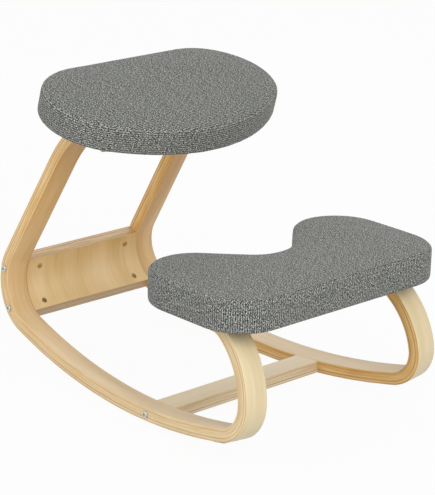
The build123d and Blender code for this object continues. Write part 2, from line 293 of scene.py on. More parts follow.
frame_inward = Vector((1, -math.tan(toe_angle), -math.tan(lean_angle))).normalized()
frame_rearward = Vector((math.tan(toe_angle), 1, 0)).normalized()
frame_upward = frame_inward.cross(frame_rearward)
frame_to_chair = Matrix((frame_rearward, frame_upward, frame_inward)).transposed().to_4x4()
frame_to_chair.translation = (-half_gap_at_floor, 0, -floor_drop)


def arm_plane(run, from_start, facing):
    """The plane of a board, along an arm and level across: its origin, rearward side and normal."""
    start, end = [frame_to_chair @ Vector((facing * p.x, p.y, 0)) for p in (run["start"], run["end"])]
    along = Vector((0, end.y - start.y, end.z - start.z)).normalized()
    rearward = along if along.y > 0 else -along
    origin = Vector((0, start.y, start.z)) + from_start * rearward
    return origin, rearward, Vector((1, 0, 0)).cross(rearward)


seat_forward_of_arm = 21.0 * mm
knee_behind_arm = 53.0 * mm
seat_plane = arm_plane(rear_runs["seat arm"], seat_forward_of_arm, 1)
knee_plane = arm_plane(front_runs["knee arm"], knee_behind_arm, -1)
print("seat plane at", [round(v, 3) for v in seat_plane[0]])


# %% Spin the strip
def select_faces(piece, wanted):
    """In edit mode, select only the faces whose centre, or normal, a test accepts."""
    bpy.ops.mesh.select_all(action="DESELECT")
    bpy.ops.object.mode_set(mode="OBJECT")
    for face in piece.data.polygons:
        face.select = wanted(face)
    bpy.ops.object.mode_set(mode="EDIT")


def run_strip(runs, facing, fewest_steps=8):
    """Push the selected end face along the runs; the spin tool counts its angle clockwise."""
    step_length = 9.0 * mm
    for run in runs.values():
        if run["radius"] is None:
            push = run["length"] * run["ahead"]
            bpy.ops.mesh.extrude_region_move(
                TRANSFORM_OT_translate={"value": (facing * push.x, push.y, 0)},
            )
        else:
            bpy.ops.mesh.spin(
                steps=max(fewest_steps, round(run["length"] / step_length)),
                angle=-facing * run["turn"],
                center=(facing * run["centre"].x, run["centre"].y, 0),
                axis=(0, 0, 1),
            )


def add_section(name, thickness, width):
    """A strip's end face, selected in edit mode: its outer edge on Y = 0, its inner side on Z = 0."""
    bpy.ops.object.select_all(action="DESELECT")
    bpy.ops.mesh.primitive_plane_add(size=1.0)
    section = bpy.context.object
    section.name = name
    corners = [(0, 0, -width), (0, 0, 0), (0, thickness, -width), (0, thickness, 0)]
    for vertex, corner in zip(section.data.vertices, corners):
        vertex.co = corner
    bpy.ops.object.mode_set(mode="EDIT")
    bpy.ops.mesh.select_all(action="SELECT")
    return section


def close_strip():
    """Merge what the runs left double, and turn all faces outwards."""
    bpy.ops.mesh.select_all(action="SELECT")
    bpy.ops.mesh.remove_doubles(threshold=0.01 * mm)
    bpy.ops.mesh.normals_make_consistent(inside=False)
    bpy.ops.object.mode_set(mode="OBJECT")


left_frame = add_section("left_frame_laminate", strip_thickness, strip_width)
bpy.ops.mesh.bevel(offset=edge_round, segments=3, affect="VERTICES")
run_strip(rear_runs, 1)
select_faces(left_frame, lambda face: abs(face.normal.x) > 0.99 and abs(face.center.x) < mm)
run_strip(front_runs, -1)
close_strip()
left_frame.data.transform(frame_to_chair)
print("strip faces:", len(left_frame.data.polygons))

# %% [markdown]
# The frames lean inwards, so the arms are planed until they lie flat under the boards. A bisect with
# a fill is that plane stroke. The bolts go up through the arms, their heads sunk in round pockets,
# which are cut with cylinders as a drill would cut them.

# %% Plane the arms and drill the pockets
arm_bolt_margin = 12.5 * mm
arm_grip = 16.5 * mm
pocket_diameter = 19.0 * mm
pocket_reach = 30.0 * mm
lowest_seat_arm = 0.33
lowest_knee_arm = 0.15
arms = [
    (seat_plane, rear_runs["seat arm"], 1, lowest_seat_arm),
    (knee_plane, front_runs["knee arm"], -1, lowest_knee_arm),
]

pick(left_frame)
bpy.ops.object.mode_set(mode="EDIT")
for (origin, _, normal), run, facing, lowest in arms:
    select_faces(left_frame, lambda face: face.center.z > lowest and facing * face.center.y > 0)
    bpy.ops.mesh.bisect(plane_co=origin, plane_no=normal, use_fill=True, clear_outer=True)
bpy.ops.object.mode_set(mode="OBJECT")

drills = []
for (origin, _, normal), run, facing, lowest in arms:
    for reach in (arm_bolt_margin, run["length"] - arm_bolt_margin):
        flat = run["start"] + reach * run["ahead"]
        bolt = frame_to_chair @ Vector((facing * flat.x, flat.y, -strip_width / 2))
        on_plane = bolt - (bolt - origin).dot(normal) * normal
        bpy.ops.mesh.primitive_cylinder_add(
            vertices=40,
            radius=pocket_diameter / 2,
            depth=pocket_reach,
            location=on_plane - (arm_grip + pocket_reach / 2) * normal,
            rotation=normal.to_track_quat("Z", "Y").to_euler(),
        )
        drills.append(bpy.context.object)
for drill in drills:
    pick(left_frame)
    cut = left_frame.modifiers.new("pocket", "BOOLEAN")
    cut.operation = "DIFFERENCE"
    cut.solver = "EXACT"
    cut.object = drill
    bpy.ops.object.modifier_apply(modifier=cut.name)
    bpy.data.objects.remove(drill)
bpy.ops.object.shade_smooth_by_angle(angle=math.radians(32))
print("frame faces after drilling:", len(left_frame.data.polygons))

# %% The right frame, and where each point lies in the plies
pick(left_frame)
bpy.ops.object.duplicate()
right_frame = bpy.context.object
right_frame.name = "right_frame_laminate"
right_frame.data.transform(Matrix.Scale(-1, 4, (1, 0, 0)))
bpy.ops.object.mode_set(mode="EDIT")
bpy.ops.mesh.select_all(action="SELECT")
bpy.ops.mesh.flip_normals()
bpy.ops.object.mode_set(mode="OBJECT")


def mark_plies(piece, side, grain_shift):
    """Store each point's place in the unrolled strip: along it, into the plies, and across it."""
    to_frame = frame_to_chair.inverted()
    mark = piece.data.attributes.new("plies", "FLOAT_VECTOR", "POINT")
    for vertex, value in zip(piece.data.vertices, mark.data):
        local = to_frame @ Vector((side * vertex.co.x, vertex.co.y, vertex.co.z))
        facing = 1 if local.x >= 0 else -1
        runs = rear_runs if facing == 1 else front_runs
        along, depth = unroll(runs, Vector((facing * local.x, local.y)))
        value.vector = (facing * along, depth, local.z + grain_shift)


# In metres across the grain, so that the two sides are not cut from the same veneer.
right_grain_shift = 7.0
mark_plies(left_frame, 1, 0.0)
mark_plies(right_frame, -1, right_grain_shift)
for piece, replaced in ((left_frame, "left_side_frame"), (right_frame, "right_side_frame")):
    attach(piece, "root")
    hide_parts(replaced)
    print(piece.name, "points placed in the plies:", len(piece.data.vertices))

# %% [markdown]
# ## Laminated birch
# Rotary-cut birch veneer is pale, cream on the strip's outer face and a warmer tan on its inner
# face, with long, faint streaks. Towards the rear the inner face and the edges are painted golden:
# that is painted shade and warm light bounced from the panel, not a tone of the birch. On the
# strip's edges the plies show as fine lines of many browns, with thin glue lines between them. A
# picture of wood would stretch in the bends, so the pattern is worked out from the unrolled strip's
# own coordinates and follows every bend. The lacquer gives a satin shine.

# %% Birch finish
grain_length = 90.0 * mm
grain_width = 2.2 * mm
cloud_length = 330.0 * mm
cloud_width = 30.0 * mm
ply_streak_length = 55.0 * mm
ply_streak_width = 0.9 * mm
# Between these places along the strip the inner face and the edges turn to their golden rear shades:
# painted shade with warm bounced light.
painted_shade_drift = (-100.0 * mm, 600.0 * mm)
ply_count = round(strip_thickness / ply_thickness)
# The figure is part cloud and part grain. The stops place its dark, middle and light shades, and
# those of the plies.
cloud_share = 0.62
grain_share = 0.38
figure_stops = (0.30, 0.52, 0.74)
ply_stops = (0.42, 0.72, 1.0)
ply_contrast = 0.45
shine_spread = 0.08
# In plies: where the glue fades out beside a joint, and where the face veneer ends under its face.
glue_fade = (0.02, 0.16)
veneer_end = (0.35, 0.6)
glue_brown = "#8A5A2C"


def set_ramp(ramp, stops):
    """Give a colour ramp its stops, as places and hex colours."""
    elements = ramp.color_ramp.elements
    while len(elements) < len(stops):
        elements.new(0.5)
    for element, (place, shade) in zip(elements, stops):
        element.position = place
        element.color = colour(shade)


def stretched_noise(tree, place, sizes, **settings):
    """Noise whose grains have their own length along each axis."""
    scaled = add_node(
        tree,
        "ShaderNodeVectorMath",
        {0: place, 1: [1 / size for size in sizes]},
        operation="MULTIPLY",
    )
    inputs = {"Vector": scaled.outputs[0], "Scale": 1.0, **settings}
    return add_node(tree, "ShaderNodeTexNoise", inputs).outputs["Fac"]


def laminated_birch(name, read_place, veneers, painted_light_ends, glue_depth, shine):
    """Birch laminate from a function that gives the sockets for along, depth and across.

    The veneers are the shades of the outer face, the inner face and the edge, each as a pair, and the
    tone drifts from the first to the second between two places along the grain. The drift is painted
    light and shade, not a change in the wood.
    """
    material, tree, out = new_material(name)
    along, depth, across = read_place(tree)
    drift = add_node(
        tree,
        "ShaderNodeMapRange",
        {"Value": along, "From Min": painted_light_ends[0], "From Max": painted_light_ends[1]},
    )

    def shaded(tone, stops, ends):
        """The colour for a tone, in shades that drift from the first end's to the second's."""
        ramps = []
        for shades in ends:
            ramp = add_node(tree, "ShaderNodeValToRGB", {"Fac": tone})
            set_ramp(ramp, list(zip(stops, shades)))
            ramps.append(ramp.outputs["Color"])
        mixed = add_node(
            tree,
            "ShaderNodeMix",
            {"Factor": drift.outputs[0], "A": ramps[0], "B": ramps[1]},
            data_type="RGBA",
        )
        return mixed.outputs["Result"]

    place = add_node(tree, "ShaderNodeCombineXYZ", {"X": along, "Y": across, "Z": depth}).outputs[0]
    grain = stretched_noise(tree, place, (grain_length, grain_width, grain_width), Detail=3.0)
    cloud = stretched_noise(tree, place, (cloud_length, cloud_width, cloud_width), Detail=2.0)
    cloud_part = add_node(tree, "ShaderNodeMath", {0: cloud, 1: cloud_share}, operation="MULTIPLY")
    figure = add_node(
        tree,
        "ShaderNodeMath",
        {0: grain, 1: grain_share, 2: cloud_part.outputs[0]},
        operation="MULTIPLY_ADD",
    )
    outer, inner = [shaded(figure.outputs[0], figure_stops, ends) for ends in veneers[:2]]

    ply = add_node(tree, "ShaderNodeMath", {0: depth, 1: ply_thickness}, operation="DIVIDE").outputs[0]
    ply_number = add_node(tree, "ShaderNodeMath", {0: ply}, operation="FLOOR")
    ply_chance = add_node(
        tree,
        "ShaderNodeTexWhiteNoise",
        {"W": ply_number.outputs[0]},
        noise_dimensions="1D",
    )
    streak_sizes = (ply_streak_length, ply_streak_length, ply_streak_width)
    streak = stretched_noise(tree, place, streak_sizes, Detail=2.0)
    ply_tone = add_node(
        tree,
        "ShaderNodeMath",
        {0: ply_chance.outputs["Value"], 1: ply_contrast, 2: streak},
        operation="MULTIPLY_ADD",
    )
    plies = shaded(ply_tone.outputs[0], ply_stops, veneers[2])
    from_glue = add_node(tree, "ShaderNodeMath", {0: ply, 1: 0.5}, operation="PINGPONG")
    glue = add_node(
        tree,
        "ShaderNodeMapRange",
        {
            "Value": from_glue.outputs[0],
            "From Min": glue_fade[0],
            "From Max": glue_fade[1],
            "To Min": glue_depth,
            "To Max": 0.0,
        },
    )
    edge = add_node(
        tree,
        "ShaderNodeMix",
        {"Factor": glue.outputs[0], "A": plies, "B": colour(glue_brown)},
        data_type="RGBA",
    )

    is_inner = add_node(
        tree,
        "ShaderNodeMath",
        {0: ply, 1: ply_count / 2},
        operation="GREATER_THAN",
    )
    face = add_node(
        tree,
        "ShaderNodeMix",
        {"Factor": is_inner.outputs[0], "A": outer, "B": inner},
        data_type="RGBA",
    )
    to_back = add_node(tree, "ShaderNodeMath", {0: float(ply_count), 1: ply}, operation="SUBTRACT")
    to_face = add_node(tree, "ShaderNodeMath", {0: ply, 1: to_back.outputs[0]}, operation="MINIMUM")
    is_edge = add_node(
        tree,
        "ShaderNodeMapRange",
        {"Value": to_face.outputs[0], "From Min": veneer_end[0], "From Max": veneer_end[1]},
    )
    tone = add_node(
        tree,
        "ShaderNodeMix",
        {"Factor": is_edge.outputs[0], "A": face.outputs["Result"], "B": edge.outputs["Result"]},
        data_type="RGBA",
    )
    roughness = add_node(
        tree,
        "ShaderNodeMapRange",
        {"Value": grain, "To Min": shine - shine_spread, "To Max": shine + shine_spread},
    )
    relief = add_node(
        tree,
        "ShaderNodeBump",
        {"Height": grain, "Strength": 0.12, "Distance": 0.2 * mm},
    )
    surface = add_node(
        tree,
        "ShaderNodeBsdfPrincipled",
        {
            "Base Color": tone.outputs["Result"],
            "Roughness": roughness.outputs[0],
            "Normal": relief.outputs[0],
            "IOR": 1.48,
            "Coat Weight": 0.08,
            "Coat Roughness": 0.3,
        },
    )
    tree.links.new(surface.outputs[0], out.inputs["Surface"])
    return material


def strip_place(tree):
    """Along, depth and across, from the places stored in the strip's points."""
    mark = add_node(tree, "ShaderNodeAttribute", attribute_name="plies")
    parts = add_node(tree, "ShaderNodeSeparateXYZ", {0: mark.outputs["Vector"]})
    return parts.outputs["X"], parts.outputs["Y"], parts.outputs["Z"]


cream_veneer = ("#CDB88D", "#D9C8A2", "#E4D7BA")
tan_veneer = ("#D0B387", "#DEC7A0", "#E9D7B7")
# The golden veneer and the amber and golden plies are painted shade and warm bounced light.
golden_painted_shade_veneer = ("#BB8B4A", "#CFA364", "#DDBB83")
pale_plies = ("#C39E68", "#DABD8C", "#E9D6B1")
amber_painted_shade_plies = ("#BC8C47", "#DAAF6C", "#ECCF9E")
golden_painted_shade_plies = ("#B67F35", "#D6A55A", "#E8C98D")
# The right frame, the far one, has golden edges all along: painted shade on its shaded inner edges. The
# left frame's edges turn golden only towards the rear.
for piece, side, front_plies, rear_plies in (
    (left_frame, "left", pale_plies, amber_painted_shade_plies),
    (right_frame, "right", golden_painted_shade_plies, golden_painted_shade_plies),
):
    veneers = [(cream_veneer, cream_veneer), (tan_veneer, golden_painted_shade_veneer), (front_plies, rear_plies)]
    name = f"lacquered_birch_{side}_strip"
    wear(piece, laminated_birch(name, strip_place, veneers, painted_shade_drift, glue_depth=0.22, shine=0.42))
print("plies:", ply_count)

# %% [markdown]
# The rear panel is bent in the same mould, with its grain round the bend, and the crossbar is flat.
# Their solids are right as they are, so only the finish is new: it works out the depth in the plies
# from the distance to the bend's axis, or from the height in the tilted bar.

# %% Panel and crossbar
bend = rear_runs["rear bend"]
bend_axis = frame_to_chair @ Vector((bend["centre"].x, bend["centre"].y, 0))
crossbar_turn = math.radians(4.4)
middle_radius = front_runs["rocker"]["radius"] - strip_thickness / 2
crossbar_middle = frame_to_chair @ Vector(
    (
        -middle_radius * math.sin(crossbar_turn),
        front_runs["rocker"]["centre"].y - middle_radius * math.cos(crossbar_turn),
        0,
    )
)


def panel_place(tree):
    """Along, depth and across in the bent panel, from the distance to the bend's axis."""
    place = add_node(tree, "ShaderNodeTexCoord")
    from_axis = add_node(
        tree,
        "ShaderNodeVectorMath",
        {0: place.outputs["Object"], 1: (0, bend_axis.y, bend_axis.z)},
        operation="SUBTRACT",
    )
    parts = add_node(tree, "ShaderNodeSeparateXYZ", {0: from_axis.outputs[0]})
    spoke = add_node(
        tree,
        "ShaderNodeVectorMath",
        {0: from_axis.outputs[0], 1: (0, 1, 1)},
        operation="MULTIPLY",
    )
    radius = add_node(tree, "ShaderNodeVectorMath", {0: spoke.outputs[0]}, operation="LENGTH")
    depth = add_node(
        tree,
        "ShaderNodeMath",
        {0: bend["radius"], 1: radius.outputs["Value"]},
        operation="SUBTRACT",
    )
    angle = add_node(
        tree,
        "ShaderNodeMath",
        {0: parts.outputs["Z"], 1: parts.outputs["Y"]},
        operation="ARCTAN2",
    )
    around = add_node(
        tree,
        "ShaderNodeMath",
        {0: angle.outputs[0], 1: bend["radius"]},
        operation="MULTIPLY",
    )
    return around.outputs[0], depth.outputs[0], parts.outputs["X"]


def crossbar_place(tree):
    """Along, depth and across in the tilted bar, counted up from its underside."""
    place = add_node(tree, "ShaderNodeTexCoord")
    level = add_node(
        tree,
        "ShaderNodeMapping",
        {
            "Vector": place.outputs["Object"],
            "Location": (0, crossbar_middle.y, crossbar_middle.z),
            "Rotation": (-crossbar_turn, 0, 0),
        },
        vector_type="TEXTURE",
    )
    parts = add_node(tree, "ShaderNodeSeparateXYZ", {0: level.outputs[0]})
    depth = add_node(
        tree,
        "ShaderNodeMath",
        {0: parts.outputs["Z"], 1: strip_thickness / 2},
        operation="ADD",
    )
    return parts.outputs["X"], depth.outputs[0], parts.outputs["Y"]


# The panel's concave face drifts from straw to honey round the bend: the straw is a painted sheen, and
# the honey is painted shade and warm bounced light.
honey_painted_shade_veneer = ("#C29A58", "#D2AC6F", "#DCBB84")
straw_painted_sheen_veneer = ("#D3AF74", "#DFC08C", "#E7CDA0")
# The bar's palest veneer and plies are painted light, which brightens its shaded front.
bar_painted_light_veneer = ("#D6C098", "#E3D0AB", "#EDDFC1")
panel_plies = ("#98723F", "#BD9A66", "#DABF93")
bar_painted_light_plies = ("#BFA072", "#DAC198", "#EDDEC0")
panel_painted_light_drift = (-40.0 * mm, 35.0 * mm)
panel_veneers = [(cream_veneer, cream_veneer), (straw_painted_sheen_veneer, honey_painted_shade_veneer), (panel_plies, panel_plies)]
wear(
    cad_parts["rear_cross_panel"],
    laminated_birch(
        "lacquered_birch_panel",
        panel_place,
        panel_veneers,
        panel_painted_light_drift,
        glue_depth=0.5,
        shine=0.36,
    ),
)
bar_veneers = [(bar_painted_light_veneer, bar_painted_light_veneer), (bar_painted_light_veneer, bar_painted_light_veneer), (bar_painted_light_plies, bar_painted_light_plies)]
wear(
    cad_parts["front_crossbar"],
    laminated_birch(
        "lacquered_birch_bar",
        crossbar_place,
        bar_veneers,
        painted_shade_drift,
        glue_depth=0.5,
        shine=0.42,
    ),
)
print("the panel bends round", [round(v, 3) for v in bend_axis.yz])

# %% [markdown]
# ## The padded rests
# Each rest is a board with foam on it, under a sewn cover: a top panel and a side band, joined by a
# seam at the rim, and turned under the board. The plan is drawn from arcs. A flat face with that plan
# is raised, its rims are bevelled, and cloth under pressure then swells it between the seam and the
# hem, as foam swells a cover that is cut a little small.

# %% Plans of the rests
plan_step = 6.0 * mm


def plan_points(arcs, inset=0.0):
    """Points round a plan, from arcs given as centre, radius and two angles, with straights between."""
    corners = []
    for x, y, radius, first, last in arcs:
        reach = radius - inset if last > first else radius + inset
        steps = max(4, round(abs(math.radians(last - first)) * radius / plan_step))
        for step in range(steps + 1):
            angle = math.radians(first + (last - first) * step / steps)
            corners.append(Vector((x + reach * math.cos(angle), y + reach * math.sin(angle))))
    points = []
    for here, ahead in zip(corners, corners[1:] + corners[:1]):
        steps = max(1, round((ahead - here).length / plan_step))
        points += [here.lerp(ahead, step / steps) for step in range(steps)]
    return points


def seat_arcs(width, rear, front, corner):
    """The seat's plan: straight at the rear, round corners and a bowed front that is tangent to them."""
    x = width / 2 - corner
    y = rear - corner
    reach = y + front
    bow = (x**2 + reach**2 - corner**2) / (2 * (reach - corner))
    bow_y = bow - front
    meet = math.degrees(math.atan2(y - bow_y, x))
    return [
        (-x, y, corner, 90, 180 - meet),
        (0, bow_y, bow, -180 - meet, meet),
        (x, y, corner, meet, 90),
    ]


def knee_arcs(width, front, corner, lobe, lobe_y, slope, notch_y):
    """The knee rest's plan: a straight front and two rear lobes, with a notch between them."""
    x = width / 2
    across = Vector((-math.sin(math.radians(slope)), math.cos(math.radians(slope))))
    drop = across.y * notch_y - across.dot(Vector((x - lobe, lobe_y))) - lobe
    notch = drop / (1 - across.y)
    return [
        (0, notch_y + notch, notch, slope - 90, -slope - 90),
        (lobe - x, lobe_y, lobe, 90 - slope, 180),
        (corner - x, corner - front, corner, 180, 270),
        (x - corner, corner - front, corner, -90, 0),
        (x - lobe, lobe_y, lobe, 0, 90 + slope),
    ]


seat_plan = seat_arcs(width=464 * mm, rear=103.5 * mm, front=162 * mm, corner=113 * mm)
knee_plan = knee_arcs(
    width=484 * mm,
    front=150 * mm,
    corner=80 * mm,
    lobe=82 * mm,
    lobe_y=27 * mm,
    slope=45,
    notch_y=12 * mm,
)
print("plan points:", len(plan_points(seat_plan)), len(plan_points(knee_plan)))


# %% Raise a blank from its plan
def select_rim(piece, height):
    """In edit mode, select only the edges that lie at one height."""
    bpy.ops.mesh.select_all(action="DESELECT")
    bpy.ops.object.mode_set(mode="OBJECT")
    points = piece.data.vertices
    for edge in piece.data.edges:
        edge.select = all(abs(points[i].co.z - height) < 0.1 * mm for i in edge.vertices)
    bpy.ops.object.mode_set(mode="EDIT")


def raise_blank(name, plan, inset, bottom, top, rim, hem_rim):
    """A closed pad blank: the plan raised from bottom to top, with rounded rims."""
    points = plan_points(plan, inset)
    bpy.ops.object.select_all(action="DESELECT")
    bpy.ops.mesh.primitive_circle_add(vertices=len(points), radius=1.0, fill_type="NGON")
    blank = bpy.context.object
    blank.name = name
    for vertex, point in zip(blank.data.vertices, points):
        vertex.co = (point.x, point.y, bottom)
    bpy.ops.object.mode_set(mode="EDIT")
    bpy.ops.mesh.select_all(action="SELECT")
    bpy.ops.mesh.extrude_region_move(TRANSFORM_OT_translate={"value": (0, 0, top - bottom)})
    bpy.ops.mesh.select_mode(type="EDGE")
    select_rim(blank, top)
    bpy.ops.mesh.bevel(offset=rim, segments=5, affect="EDGES")
    select_rim(blank, bottom)
    bpy.ops.mesh.bevel(offset=hem_rim, segments=3, affect="EDGES")
    bpy.ops.mesh.select_mode(type="FACE")
    bpy.ops.mesh.select_all(action="SELECT")
    bpy.ops.mesh.normals_make_consistent(inside=False)
    bpy.ops.object.mode_set(mode="OBJECT")
    return blank


# %% Swell it as cloth
voxel = 4.5 * mm
pressure = 4.0
swell_frames = 20


def get_points(piece):
    """The piece's points as an array."""
    flat = np.empty(len(piece.data.vertices) * 3)
    piece.data.vertices.foreach_get("co", flat)
    return flat.reshape(-1, 3)


def set_points(piece, points):
    """Move the piece's points to the places in an array."""
    piece.data.vertices.foreach_set("co", points.ravel())
    piece.data.update()


def swell(piece, held, cap):
    """Swell the piece by pressure, with some points held, and no point moving further than the cap."""
    pinned = piece.vertex_groups.new(name="held")
    pinned.add([int(i) for i in np.flatnonzero(held)], 1.0, "REPLACE")
    before = get_points(piece)
    pick(piece)
    cloth = piece.modifiers.new("swell", "CLOTH")
    cloth.settings.use_pressure = True
    cloth.settings.uniform_pressure_force = pressure
    cloth.settings.effector_weights.gravity = 0
    cloth.settings.vertex_group_mass = pinned.name
    cloth.point_cache.frame_start = 1
    cloth.point_cache.frame_end = swell_frames
    for number in range(1, swell_frames + 1):
        scene.frame_set(number)
    bpy.ops.object.modifier_apply(modifier=cloth.name)
    scene.frame_set(1)
    move = get_points(piece) - before
    length = np.linalg.norm(move, axis=1, keepdims=True)
    shortest = 1e-9
    set_points(piece, before + move * np.minimum(1, cap / np.maximum(length, shortest)))
    piece.vertex_groups.clear()
    print(piece.name, "swelled by up to", round(float(length.max()) / mm, 1), "mm before the cap")


# %% Sew the rim
def plan_place(points, plan):
    """For each point: the distance round the plan, and how far inside the plan's line it lies."""
    line = [Vector((p.x, p.y, 0)) for p in plan_points(plan)]
    steps = [(b - a).length for a, b in zip(line, line[1:] + line[:1])]
    starts = np.concatenate([[0], np.cumsum(steps)])
    tree = KDTree(len(line))
    for index, place in enumerate(line):
        tree.insert(place, index)
    tree.balance()
    around = np.empty(len(points))
    inside = np.empty(len(points))
    for number, (x, y, _) in enumerate(points):
        place, index, _ = tree.find(Vector((x, y, 0)))
        ahead = (line[(index + 1) % len(line)] - line[index - 1]).normalized()
        offset = Vector((x, y, 0)) - place
        around[number] = starts[index] + offset.dot(ahead)
        inside[number] = ahead.x * offset.y - ahead.y * offset.x
    return around, inside, float(starts[-1])


def board_to_chair(place):
    """The matrix that lays a rest, made flat at the origin, on its board's plane."""
    origin, rearward, normal = place
    matrix = Matrix((Vector((1, 0, 0)), rearward, normal)).transposed().to_4x4()
    matrix.translation = origin
    return matrix


def press_in(piece, amount):
    """Push each point in along its normal by its own amount."""
    normals = np.empty(len(piece.data.vertices) * 3)
    piece.data.vertex_normals.foreach_get("vector", normals)
    set_points(piece, get_points(piece) - normals.reshape(-1, 3) * amount[:, None])


def make_rest(name, plan, place, height, rim, folds, band_upright):
    """A padded rest: raised, swelled, seamed and folded, with its weave mapped, in its place."""
    blank_inset = 2.0 * mm
    blank_top = height - 4.0 * mm
    hem_bottom = 0.5 * mm
    hem_rim = 4.0 * mm
    seam_drop = 0.3 * rim
    seam_inset = blank_inset + seam_drop
    seam_height = blank_top - seam_drop
    held_reach = 3.0 * mm
    swell_cap = 4.0 * mm
    piece = raise_blank(name, plan, blank_inset, hem_bottom, blank_top, rim, hem_rim)
    piece.data.remesh_voxel_size = voxel
    pick(piece)
    bpy.ops.object.voxel_remesh()
    points = get_points(piece)
    inside = plan_place(points, plan)[1]
    from_seam = np.hypot(inside - seam_inset, points[:, 2] - seam_height)
    held = (points[:, 2] < held_reach) | (from_seam < held_reach)
    swell(piece, held, swell_cap)
    pick(piece)
    finer = piece.modifiers.new("finer", "SUBSURF")
    finer.levels = 1
    finer.render_levels = 1
    bpy.ops.object.modifier_apply(modifier=finer.name)

    points = get_points(piece)
    around, inside, length = plan_place(points, plan)
    seam_depth = 1.3 * mm
    seam_width = 2.0 * mm
    fold_width = 2.0 * mm
    rumple_depth = 0.35 * mm
    rumple_size = 60.0 * mm
    from_seam = np.hypot(inside - seam_inset, points[:, 2] - seam_height)
    amount = seam_depth * np.exp(-((from_seam / seam_width) ** 2))
    for middle, reach, level, depth in folds:
        window = np.exp(-(((around / length - middle) / reach) ** 2))
        ripple = np.exp(-(((points[:, 2] - level) / fold_width) ** 2))
        amount += depth * window * ripple * (inside < seam_inset + rim)
    rumple = np.array([noise.noise(Vector(point) / rumple_size) for point in points])
    amount += rumple_depth * rumple * (points[:, 2] > hem_bottom + hem_rim)
    press_in(piece, amount)
    map_weave(piece, points, around, inside, length, seam_inset, seam_height, band_upright)

    piece.data.transform(board_to_chair(place))
    pick(piece)
    bpy.ops.object.shade_smooth()
    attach(piece, "root")
    print(name, "faces:", len(piece.data.polygons))
    return piece


# %% Map the weave
def map_weave(piece, points, around, inside, length, seam_inset, seam_height, band_upright):
    """Lay the cloth out in metres: the top and hem as they lie, the band along the rim."""
    weave = piece.data.uv_layers.new(name="weave")
    loops = np.empty(len(piece.data.loops), int)
    piece.data.loops.foreach_get("vertex_index", loops)
    counts = np.empty(len(piece.data.polygons), int)
    piece.data.polygons.foreach_get("loop_total", counts)
    face_of_loop = np.repeat(np.arange(len(counts)), counts)
    first_loop = np.concatenate([[0], np.cumsum(counts)[:-1]])
    middle_z = np.add.reduceat(points[loops, 2], first_loop) / counts
    middle_inside = np.add.reduceat(inside[loops], first_loop) / counts
    deepest_band = 7.0 * mm
    below_seam = middle_inside - seam_inset < seam_height - middle_z
    on_band = (below_seam & (middle_inside < deepest_band))[face_of_loop]
    start = around[loops[first_loop]][face_of_loop]
    wrapped = (around[loops] - start + length / 2) % length - length / 2 + start
    band = [points[loops, 2], wrapped] if band_upright else [wrapped, points[loops, 2]]
    flat = [points[loops, 0], points[loops, 1]]
    uv = np.stack([np.where(on_band, band[k], flat[k]) for k in (0, 1)], axis=1)
    weave.data.foreach_set("uv", uv.ravel())


# %% Seat and knee rest
# A fold has its middle and its reach as shares of the way round, its height, and its depth.
front_middle = 0.5
seat_folds = [
    (front_middle, 0.16, 40.0 * mm, 0.6 * mm),
    (front_middle, 0.11, 34.0 * mm, 0.45 * mm),
]
seat_rest = make_rest(
    "seat_rest_cushion",
    seat_plan,
    seat_plane,
    height=52 * mm,
    rim=10 * mm,
    folds=seat_folds,
    band_upright=False,
)
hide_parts("seat_cover", "seat_foam")

knee_rest = make_rest(
    "knee_rest_cushion",
    knee_plan,
    knee_plane,
    height=59 * mm,
    rim=6 * mm,
    folds=[],
    band_upright=True,
)
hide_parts("knee_cover", "knee_foam")

# %% [markdown]
# ## Grey woven cloth
# A linen-look polyester: thick and thin yarns of dark and light grey, crossed in a plain weave, so
# the cloth looks flecked. Real yarns are about half a millimetre apart, which is too fine to show at
# this distance, so they are drawn about twice as coarse, with long flecks where one yarn lies on top.
# Light and dark rows of weft, two drawn yarns apart, show faintly between the flecks, and break where
# a yarn runs thin.

# %% Cloth finish
yarn_pitch = 0.95 * mm
fleck_length = 2.8 * mm
slub_length = 10.0 * mm
row_pitch = 1.9 * mm
row_weight = 0.25
slub_ends = (0.35, 0.65)
warp_share = 0.44
cloth_shades = [(0.38, "#0C0E0C"), (0.46, "#3F413E"), (0.54, "#686A65"), (0.62, "#CDCEC8")]


